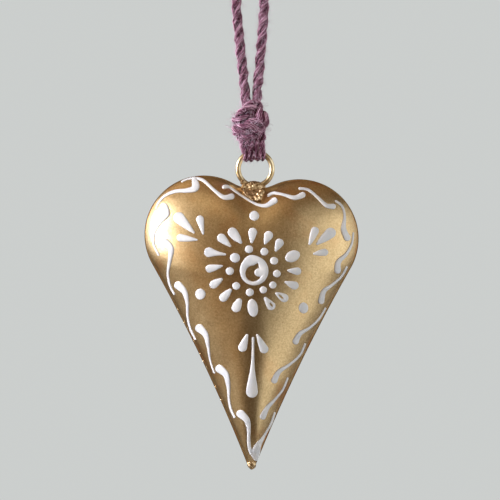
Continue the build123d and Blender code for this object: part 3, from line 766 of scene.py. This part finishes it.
def dressed_shell(node, name, sign):
    """A half shell on a grid that runs out from the crown, open at the rim, with its thickness."""
    surface = surface_of(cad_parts[node].data)
    rim = []
    for step in range(rim_looks):
        angle = 2 * math.pi * step / rim_looks
        near, far = 0.0, farthest_rim
        for halving in range(rim_halvings):
            reach = (near + far) / 2
            x = crown.x + reach * math.cos(angle)
            z = crown.z + reach * math.sin(angle)
            if dome_point(surface, x, z, sign)[0] is None:
                far = reach
            else:
                near = reach
        rim.append(Vector((crown.x + near * math.cos(angle), 0, crown.z + near * math.sin(angle))))
    spread = []
    travelled = 0.0
    goal = 0.0
    for spot, after in zip(rim, rim[1:] + rim[:1]):
        if travelled >= goal:
            spread.append(spot)
            goal += rim_step
        travelled += (after - spot).length
    vertices = [Vector((crown.x, dome_point(surface, crown.x, crown.z, sign)[0].y, crown.z))]
    for step in range(1, rise_steps + 1):
        share = math.sin(math.pi / 2 * step / rise_steps)
        for spot in spread:
            x = crown.x + (spot.x - crown.x) * share
            z = crown.z + (spot.z - crown.z) * share
            if step == rise_steps:
                vertices.append(Vector((x, sign * rim_half_gap, z)))
                continue
            place = dome_point(surface, x, z, sign)[0]
            reach = keel_soft * min(1.0, (1 - share) * keel_fade)
            reach *= min(1.0, max(0.0, (crown.z - z - keel_from) / (keel_full - keel_from)))
            if reach > 0.05 * mm:
                across = [dome_point(surface, x + reach * part, z, sign)[0] for part in keel_places]
                if None not in across:
                    place.y = (place.y + sum(spot.y for spot in across)) / (len(across) + 1)
            dent = 0.0
            for width, seed, depth in dents:
                dent += noise.noise(Vector((x, sign * seed, z)) / width) * depth
            aside, below = (x - valley_x) / valley_width, max(0.0, valley_top - z) / valley_length
            dent -= valley_depth * math.exp(-(aside**2 + below**2))
            fade = min(1.0, (1 - share) * dent_fade)
            vertices.append(Vector((x, place.y + sign * (dent - sheet_drop) * fade, z)))
    count = len(spread)
    faces = []
    for corner in range(count):
        faces.append((0, 1 + corner, 1 + (corner + 1) % count))
    for step in range(rise_steps - 1):
        for corner in range(count):
            a = 1 + step * count + corner
            b = 1 + step * count + (corner + 1) % count
            faces.append((a, a + count, b + count, b))
    if sign > 0:
        faces = [face[::-1] for face in faces]
    mesh = bpy.data.meshes.new(name)
    mesh.from_pydata(vertices, [], faces)
    piece = put(name, mesh)
    thick = piece.modifiers.new("sheet", "SOLIDIFY")
    thick.thickness = sheet
    thick.offset = -1.0
    settled(piece).data.materials.append(gold)
    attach(piece, "heart")
    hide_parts(node)
    return piece


front_skin = dressed_shell("front_shell", "front_skin", -1)
back_skin = dressed_shell("back_shell", "back_skin", 1)

# The rim seam: the thin braze line between the two rims, lacquered over with the shells.
# Grains of braze sit along it, thickest down the left side.
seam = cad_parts["rim_seam"]
seam.data.materials.clear()
seam.data.materials.append(gold)

bead_rule, given, made = new_rule("rim_beads", (
    ("Bead Radius", "NodeSocketFloat", 0.42 * mm),
    ("Spacing", "NodeSocketFloat", 2.6 * mm),
    ("Scatter", "NodeSocketFloat", 0.25 * mm),
    ("Seed", "NodeSocketInt", 1),
))
to_curve, even, grains, ball, size, shift, scaled, moved, real, dress = node_row(
    bead_rule, "GeometryNodeMeshToCurve", "GeometryNodeCurveToPoints", "GeometryNodeInstanceOnPoints",
    "GeometryNodeMeshIcoSphere", "FunctionNodeRandomValue", "FunctionNodeRandomValue",
    "ShaderNodeVectorMath", "GeometryNodeSetPosition", "GeometryNodeRealizeInstances",
    "GeometryNodeSetMaterial",
)
even.mode = "LENGTH"
size.data_type = "FLOAT"
shift.data_type = "FLOAT_VECTOR"
scaled.operation = "SCALE"
dial(ball, {"Subdivisions": 2})
dial(size, {2: 0.35, 3: 1.0})
dial(shift, {"Min": (-1, -1, -1)})
join(bead_rule, (
    (given, "Geometry", to_curve, "Mesh"),
    (to_curve, "Curve", even, "Curve"),
    (given, "Spacing", even, "Length"),
    (even, "Points", moved, "Geometry"),
    (given, "Seed", shift, "Seed"),
    (given, "Seed", size, "Seed"),
    (shift, 0, scaled, 0),
    (given, "Scatter", scaled, "Scale"),
    (scaled, "Vector", moved, "Offset"),
    (moved, "Geometry", grains, "Points"),
    (given, "Bead Radius", ball, "Radius"),
    (ball, "Mesh", grains, "Instance"),
    (size, 1, grains, "Scale"),
    (grains, "Instances", real, "Geometry"),
    (real, "Geometry", dress, "Geometry"),
    (given, "Stuff", dress, "Material"),
    (dress, "Geometry", made, "Geometry"),
))

bead_from_x, bead_from_z = -1 * mm, -117 * mm  # the left rim, below the heart's shoulder
level_band, edge_band = 0.5 * mm, 0.3 * mm  # within which spots lie level, or at the very edge
rim_band = 0.01 * mm
skin_spots = [vertex.co for vertex in front_skin.data.vertices]
rim_spots = [spot for spot in skin_spots if abs(spot.y + rim_half_gap) < rim_band]
left_rim = [spot for spot in rim_spots if spot.x < bead_from_x and spot.z < bead_from_z]
left_rim.sort(key=lambda spot: spot.z)
kept_rim = []
for spot in left_rim:
    outermost = min(other.x for other in left_rim if abs(other.z - spot.z) < level_band)
    if spot.x - outermost < edge_band:
        kept_rim.append((spot.x, 0, spot.z))
bead_line = bpy.data.meshes.new("left_rim_line")
bead_line.from_pydata(kept_rim, [(spot, spot + 1) for spot in range(len(kept_rim) - 1)], [])
bead_guide = bpy.data.objects.new("left_rim_line", bead_line)
rim_beads = made_by(bead_rule, "rim_beads", bead_guide, {"Seed": 7, "Stuff": brass})
bpy.data.objects.remove(bead_guide)
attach(rim_beads, "heart")

# The tip's braze: a rough blob, melted on where the two rims run together, that closes the
# heart's point. It is the CAD's blob, made rough with grains.
tip_lump = crusted("tip_braze", "tip_braze_crust", 0.8 * mm, 0.22 * mm, crust, 12)
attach(tip_lump, "heart")
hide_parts("tip_braze")

# The painting: thick white paint piped and pulled by hand, the same on both faces. Each stroke
# is a closed, domed ridge that lies on the shell. Places are read off the photograph's pixels.
pixel = 0.3738 * mm
pixel_middle = 251.5
pixel_top = 177.0
lobe_top = -74.94 * mm
paint_rise = 0.55 * mm
paint_bed = -0.06 * mm  # how deep a stroke's underside lies in the shell
paint_edge = 0.4 * paint_bed
hole_bed = -0.05 * mm
hole_edge = 0.85  # of a burst bubble's half size, inside which the shell shows
rise_share = 0.75  # a thin stroke's rise over its half width
steep = 0.7  # below 1 the dome's sides stand steeper than a circle's
wobble_wave, wobble_share = 1.3 * mm, 0.14
thinnest = 0.02 * mm
bed_places = (0.6, 0.0, -0.6)  # across a stroke's underside, over its half width
plain_tops, holed_tops = 11, 23  # places over a stroke's dome
start_steps, end_steps = 7, 6  # at a stroke's round ends
stroke_step = 0.3 * mm
oval_steps, oval_lean = 14, 86  # the lean in degrees, from the oval's middle to its end
slides, slide_share = 40, 0.004
oval_seed, holed_seed, eye_dot_seed = 20, 30, 3
edge_blur = 0.4  # pixels by which the picture shows each edge too wide
drop_blur = 0.2

# A drop is its bulb's place and radius, its half width midway, its tip's place and half width.
petals_px = [
    (252.5, 232.1, 4.7, 3.4, 251.6, 241.5, 1.7),
    (268.2, 235.4, 4.8, 3.4, 265.0, 242.8, 1.6),
    (279.0, 242.8, 4.6, 3.3, 275.8, 249.8, 1.7),
    (296.8, 270.7, 4.1, 3.1, 288.1, 270.0, 1.4),
    (293.9, 284.8, 4.4, 3.3, 285.5, 281.6, 1.5),
    (236.3, 306.9, 4.8, 4.4, 239.0, 300.6, 3.3),
    (223.6, 296.8, 4.5, 3.7, 230.1, 289.7, 2.1),
    (213.9, 283.8, 4.4, 3.6, 221.3, 278.9, 1.9),
    (210.0, 268.1, 4.3, 3.1, 221.9, 265.6, 1.3),
    (209.6, 252.0, 5.3, 2.7, 225.2, 254.0, 1.3),
    (221.8, 237.9, 4.7, 3.3, 230.1, 245.6, 1.4),
    (232.6, 232.2, 5.1, 4.3, 240.8, 242.3, 1.6),
]
# An oval is its middle, its half length and half width, and the way its length runs.
oval_petals_px = [
    (292.1, 255.9, 8.1, 5.8, 0.9, -0.44),
    (252.6, 307.1, 9.4, 5.4, 0.15, 0.99),
]
holed_petals_px = [  # a drop, then its hole's middle, way and half sizes, where a bubble burst
    ((283.7, 297.2, 4.5, 3.5, 276.5, 292.9, 1.8), (280.7, 296.0, 0.75, 0.66, 3.9, 1.4)),
    ((270.7, 305.0, 4.6, 3.4, 265.2, 297.7, 1.8), (271.0, 304.1, 0.53, 0.85, 3.0, 1.5)),
]
sprigs_px = [
    (179.4, 217.9, 6.1, 4.1, 194.0, 232.2, 1.4),
    (200.3, 219.2, 4.1, 2.8, 203.4, 233.6, 1.1),
    (180.9, 237.5, 4.1, 3.0, 197.0, 239.6, 1.2),
    (314.3, 230.8, 4.3, 3.3, 309.2, 243.6, 1.5),
    (329.8, 232.8, 5.6, 4.2, 316.9, 243.4, 1.6),
    (324.0, 251.9, 3.8, 3.1, 313.6, 253.4, 1.4),
]
pendants_px = [
    (242.6, 346.2, 4.7, 3.3, 246.8, 334.4, 1.6),
    (263.8, 348.0, 4.6, 3.2, 257.3, 334.4, 1.5),
]
long_pendant_px = [
    (251.9, 390.6, 6.3), (252.0, 383.6, 5.4), (252.2, 375.0, 3.7), (252.5, 365.0, 2.3),
    (252.8, 352.0, 1.7), (253.0, 337.0, 1.5),
]

# A round dot is its place and its radius; a single dot may be an oval that stands upright.
inner_dots_px = [
    (248.9, 248.9, 4.3),
    (264.1, 251.3, 4.2),
    (273.8, 260.4, 4.2),
    (276.5, 273.1, 4.1),
    (272.5, 284.4, 3.9),
    (263.1, 289.2, 3.9),
    (249.7, 291.6, 4.2),
    (236.3, 285.3, 4.2),
    (229.9, 270.6, 4.3),
    (235.0, 257.4, 5.2),
]
single_dots_px = [
    (254.2, 215.8, 5.2, 5.1),
    (200.7, 293.5, 6.0, 5.3),
    (303.0, 307.2, 5.9, 5.0),
]
# The eye's outer and inner edge: its middle and half sizes, then how far it bulges out, at
# which angle in degrees, and over how many.
eye_edges_px = (
    (254.0, 270.2, 14.2, 14.6, 1.5, 108, 26),
    (253.2, 273.0, 7.9, 7.9, 3.0, 66, 13),
)
eye_steps = 72
eye_dot_px = [(258.6, 271.9, 4.4), (260.6, 271.8, 4.6), (262.4, 271.7, 4.9)]

# A scroll is a row of places with the stroke's half width there, from its bulb to its tail.
top_scrolls_px = [
    [
        (194.8, 181.0, 3.4), (195.8, 185.4, 4.2), (194.6, 188.6, 3.8), (187.0, 190.6, 2.6),
        (176.0, 191.2, 2.1), (166.0, 195.0, 1.7), (159.4, 201.4, 1.5), (156.0, 208.0, 1.2),
    ],
    [
        (231.4, 196.6, 3.4), (223.6, 197.2, 2.6), (213.8, 189.8, 1.9), (203.4, 180.4, 1.9),
        (194.0, 178.0, 1.7), (187.0, 178.8, 1.5), (182.0, 181.4, 1.2),
    ],
    [
        (274.2, 200.6, 3.6), (266.0, 205.6, 2.4), (256.0, 204.0, 1.6), (243.2, 196.6, 1.4),
        (234.8, 190.8, 1.5), (229.8, 187.2, 1.6), (226.0, 186.6, 2.2), (224.0, 187.0, 2.3),
    ],
    [
        (302.2, 195.0, 3.4), (294.2, 197.8, 2.6), (284.4, 195.0, 1.8), (274.0, 193.0, 1.8),
        (268.2, 195.4, 1.8),
    ],
    [
        (332.6, 206.4, 3.2), (325.6, 205.2, 2.4), (317.6, 197.6, 1.8), (308.4, 190.0, 1.7),
        (299.4, 188.4, 1.7),
    ],
    [
        (346.6, 237.4, 3.8), (343.0, 228.6, 3.0), (344.2, 216.4, 1.7), (342.0, 206.6, 1.6),
        (335.6, 200.8, 1.5),
    ],
]
left_scrolls_px = [
    [
        (164.4, 207.0, 4.6), (167.6, 214.4, 2.6), (160.6, 223.0, 1.7), (154.6, 233.0, 1.6),
        (154.2, 244.0, 1.6), (158.8, 254.4, 1.5),
    ],
    [
        (165.6, 242.4, 4.6), (171.4, 248.6, 3.4), (170.2, 260.0, 2.2), (168.2, 273.0, 1.6),
        (170.2, 285.0, 1.5), (174.4, 293.6, 1.4),
    ],
    [
        (178.6, 284.8, 4.5), (185.0, 291.6, 3.2), (187.6, 303.0, 2.0), (187.8, 316.0, 1.5),
        (190.4, 328.0, 1.5), (195.4, 338.6, 1.4),
    ],
    [
        (199.8, 327.6, 4.6), (206.0, 334.2, 3.2), (208.4, 346.0, 1.9), (209.8, 357.0, 1.4),
        (211.8, 365.0, 1.3), (214.4, 372.0, 1.3),
    ],
    [
        (219.8, 368.0, 4.6), (226.2, 374.0, 3.4), (228.6, 386.0, 2.2), (229.0, 398.0, 1.6),
        (231.0, 408.4, 1.6), (234.6, 416.4, 1.5),
    ],
    [
        (240.8, 412.8, 4.5), (246.8, 419.0, 3.4), (248.8, 428.6, 2.3), (248.6, 437.0, 2.0),
        (249.2, 445.6, 2.1), (251.2, 452.6, 2.2),
    ],
]
right_scrolls_px = [
    [
        (337.0, 269.8, 3.7), (338.0, 261.4, 3.0), (346.0, 253.4, 2.0), (351.4, 243.4, 1.5),
        (353.0, 232.8, 1.3),
    ],
    [
        (320.6, 300.4, 3.5), (323.4, 290.6, 2.7), (332.0, 284.0, 1.8), (341.0, 276.0, 1.5),
        (346.2, 266.8, 1.5),
    ],
    [
        (295.2, 340.6, 3.5), (299.6, 332.8, 2.6), (309.6, 326.8, 1.7), (318.6, 318.4, 1.5),
        (325.0, 308.0, 1.4),
    ],
    [
        (274.0, 379.4, 3.5), (278.8, 370.6, 2.6), (290.2, 363.0, 1.7), (299.8, 354.0, 1.5),
        (304.6, 343.4, 1.4),
    ],
    [
        (262.6, 415.6, 3.4), (267.0, 406.6, 2.6), (274.8, 398.4, 1.7), (282.6, 388.6, 1.5),
        (287.2, 377.6, 1.4),
    ],
    [
        (255.6, 458.2, 2.6), (255.2, 452.4, 4.9), (258.0, 444.2, 3.4), (264.0, 434.8, 1.7),
        (270.6, 423.4, 1.5), (274.4, 412.4, 1.4),
    ],
]

paint, tree, shader = new_finish(
    "white_relief_paint", {"Coat Weight": 0.25, "Coat Roughness": 0.18, "Subsurface Weight": 0.0}
)
where, cloud, fine, tint, shine, lump = node_row(
    tree, "ShaderNodeTexCoord", "ShaderNodeTexNoise", "ShaderNodeTexNoise", "ShaderNodeValToRGB",
    "ShaderNodeMapRange", "ShaderNodeBump",
)
dial(cloud, {"Scale": 330.0, "Detail": 4.0})
dial(fine, {"Scale": 2200.0, "Detail": 3.0})
tones(tint, (0.32, (0.68, 0.68, 0.69)), (0.68, (0.81, 0.775, 0.74)))
dial(shine, {"To Min": 0.30, "To Max": 0.50})
dial(lump, {"Strength": 0.3, "Distance": 0.04 * mm})
join(tree, (
    (where, "Object", cloud, "Vector"),
    (where, "Object", fine, "Vector"),
    (cloud, "Fac", tint, "Fac"),
    (fine, "Fac", shine, "Value"),
    (fine, "Fac", lump, "Height"),
    (tint, "Color", shader, "Base Color"),
    (shine, "Result", shader, "Roughness"),
    (lump, "Normal", shader, "Normal"),
))


def from_photo(x_px, z_px):
    """The place in the heart's plane that a pixel of the photograph shows."""
    return crown.x + (x_px - pixel_middle) * pixel, lobe_top - (z_px - pixel_top) * pixel


def smooth_row(places, steps):
    """Places between the given ones, on a smooth line through them."""
    padded = [places[0], *places, places[-1]]
    row = []
    for a, b, c, d in zip(padded, padded[1:], padded[2:], padded[3:]):
        for step in range(steps):
            t = step / steps
            place = []
            for p, q, r, s in zip(a, b, c, d):
                curve = (-p + 3 * q - 3 * r + s) * t**3 + (2 * p - 5 * q + 4 * r - s) * t**2
                place.append(q + (curve + (r - p) * t) / 2)
            row.append(place)
    row.append(list(places[-1]))
    return row


def stations(row):
    """Even stations along a stroke with a round end at each side: (x, z, way, half width)."""
    ways = []
    for index in range(len(row)):
        before, after = row[max(index - 1, 0)], row[min(index + 1, len(row) - 1)]
        dx, dz = after[0] - before[0], after[1] - before[1]
        length = math.hypot(dx, dz)
        ways.append((dx / length, dz / length))

    def round_end(place, way, lean, side):
        """A station on the round end at this side, leaning out from the stroke's full width."""
        out = side * place[2] * math.sin(lean)
        return place[0] + way[0] * out, place[1] + way[1] * out, way, place[2] * math.cos(lean)

    quarter = math.pi / 2
    start_leans = [quarter * (1 - step / start_steps) for step in range(start_steps)]
    end_leans = [quarter * step / end_steps for step in range(1, end_steps + 1)]
    made = [round_end(row[0], ways[0], lean, -1) for lean in start_leans]
    made += [(x, z, way, half) for (x, z, half), way in zip(row, ways)]
    made += [round_end(row[-1], ways[-1], lean, 1) for lean in end_leans]
    return made


def on_skin(surface, x, z, sign, rise):
    """A place raised above the shell. Beyond the rim it slides back towards the crown."""
    for slide in range(slides):
        place, normal = dome_point(surface, x, z, sign)[:2]
        if place is not None:
            return place + normal * rise
        x += (crown.x - x) * slide_share
        z += (crown.z - z) * slide_share
    return Vector((x, 0, z))


def add_stroke(batch, surface, sign, row, seed, hole=None):
    """One domed, closed stroke added to the batch of (vertices, faces). A hole is where a bubble
    has burst in it: its place, its way and its half sizes."""
    vertices, faces = batch
    first = len(vertices)
    tops = holed_tops if hole else plain_tops
    ring = tops + 3
    for x, z, (way_x, way_z), half in stations(row):
        half = max(half, thinnest)
        rise_here = min(paint_rise, half * rise_share)
        for index in range(tops):
            edge = index in (0, tops - 1)
            lean = math.pi * index / (tops - 1)
            v = -math.cos(lean)
            px, pz = x - way_z * half * v, z + way_x * half * v
            wobble = noise.noise(Vector((px / wobble_wave, sign + seed, pz / wobble_wave)))
            rise = 0.0 if edge else rise_here * math.sin(lean) ** steep * (1 + wobble_share * wobble)
            if hole:
                hole_x, hole_z, (cos, sin), long, wide = hole
                dx, dz = px - hole_x, pz - hole_z
                away = math.hypot((dx * cos + dz * sin) / long, (dz * cos - dx * sin) / wide)
                rise = hole_bed if away < hole_edge else rise * min(1.0, 0.35 + (away - hole_edge) * 1.6)
            vertices.append(on_skin(surface, px, pz, sign, rise + paint_edge if edge else rise))
        for v in bed_places:
            px, pz = x - way_z * half * v, z + way_x * half * v
            vertices.append(on_skin(surface, px, pz, sign, paint_bed))
    count = (len(vertices) - first) // ring
    for step in range(count - 1):
        for corner in range(ring):
            a = first + step * ring + corner
            b = first + step * ring + (corner + 1) % ring
            face = (a, b, b + ring, a + ring)
            faces.append(face if sign > 0 else face[::-1])
    last = first + (count - 1) * ring
    for cap in ([first + c for c in range(ring)][::-1], [last + c for c in range(ring)]):
        faces.append(cap if sign > 0 else cap[::-1])


def even_row(places, blur=edge_blur):
    """A stroke's places in metres, close enough for a smooth ridge."""
    row = [(*from_photo(x, z), (half - blur) * pixel) for x, z, half in places]
    length = sum(math.dist(a[:2], b[:2]) for a, b in zip(row, row[1:]))
    return smooth_row(row, max(2, round(length / stroke_step / (len(row) - 1))))


def oval_row(x, z, long, wide, way_x=0.0, way_z=1.0):
    """A dot or an oval as even steps round half its edge."""
    row = []
    for step in range(oval_steps + 1):
        lean = math.radians(oval_lean * (2 * step / oval_steps - 1))
        along = (long - drop_blur - 0.05 * wide) * math.sin(lean)
        half = (wide - drop_blur) * math.cos(lean) * pixel
        row.append((*from_photo(x + way_x * along, z + way_z * along), half))
    return row


def drop_row(x, z, radius, midway, tip_x, tip_z, tip):
    """A drop as a stroke that draws in from its bulb to its tip."""
    middle = ((x + tip_x) / 2, (z + tip_z) / 2, midway)
    return even_row([(x, z, radius), middle, (tip_x, tip_z, tip)], drop_blur)


def add_eye(batch, surface, sign):
    """The flower's eye: a closed band with its hole off centre, and the dot that juts in."""
    vertices, faces = batch
    first = len(vertices)
    tops = plain_tops
    ring = tops + 1
    for step in range(eye_steps):
        angle = 2 * math.pi * step / eye_steps
        edges = []
        for x, z, half_x, half_z, bulge, at, over in eye_edges_px:
            bulge *= math.exp(-((math.degrees(angle) - at) / over) ** 2)
            half_x, half_z = half_x + bulge, half_z + bulge
            edges.append((x + half_x * math.cos(angle), z - half_z * math.sin(angle)))
        outer, inner = edges
        for index in range(tops):
            lean = math.pi * index / (tops - 1)
            share = (1 - math.cos(lean)) / 2
            px = from_photo(*[o + (i - o) * share for o, i in zip(outer, inner)])
            rise = paint_rise * math.sin(lean) ** steep if 0 < index < tops - 1 else paint_edge
            vertices.append(on_skin(surface, *px, sign, rise))
        px = from_photo(*[(o + i) / 2 for o, i in zip(outer, inner)])
        vertices.append(on_skin(surface, *px, sign, paint_bed))
    for step in range(eye_steps):
        for corner in range(ring):
            a = first + step * ring + corner
            b = first + step * ring + (corner + 1) % ring
            c = first + (step + 1) % eye_steps * ring + corner
            d = first + (step + 1) % eye_steps * ring + (corner + 1) % ring
            face = (a, b, d, c)
            faces.append(face if sign > 0 else face[::-1])
    add_stroke(batch, surface, sign, even_row(eye_dot_px, drop_blur), eye_dot_seed)


for side, skin, sign in (("front", front_skin, -1), ("back", back_skin, 1)):
    surface = surface_of(skin.data)
    kinds = {
        "inner_dots": [oval_row(x, z, radius, radius) for x, z, radius in inner_dots_px],
        "petals": [drop_row(*drop) for drop in petals_px],
        "sprigs": [drop_row(*drop) for drop in sprigs_px],
        "pendant_drops": [drop_row(*drop) for drop in pendants_px] + [even_row(long_pendant_px)],
        "single_dots": [oval_row(*dot) for dot in single_dots_px],
        "top_scrolls": [even_row(row) for row in top_scrolls_px],
        "left_scrolls": [even_row(row) for row in left_scrolls_px],
        "right_scrolls": [even_row(row) for row in right_scrolls_px],
        "flower_eye": [],
    }
    for kind, rows in kinds.items():
        batch = ([], [])
        for number, row in enumerate(rows):
            add_stroke(batch, surface, sign, row, number)
        if kind == "petals":
            for number, row in enumerate(oval_petals_px):
                add_stroke(batch, surface, sign, oval_row(*row), oval_seed + number)
            for drop, (x, z, way_x, way_z, long, wide) in holed_petals_px:
                hole = (*from_photo(x, z), (way_x, -way_z), long * pixel, wide * pixel)
                add_stroke(batch, surface, sign, drop_row(*drop), holed_seed, hole)
        if kind == "flower_eye":
            add_eye(batch, surface, sign)
        mesh = bpy.data.meshes.new(side + "_paint_" + kind)
        mesh.from_pydata(batch[0], [], batch[1])
        mesh.materials.append(paint)
        smooth(mesh)
        strokes = put(side + "_paint_" + kind, mesh)
        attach(strokes, "heart")
        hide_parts(side + "_" + kind)
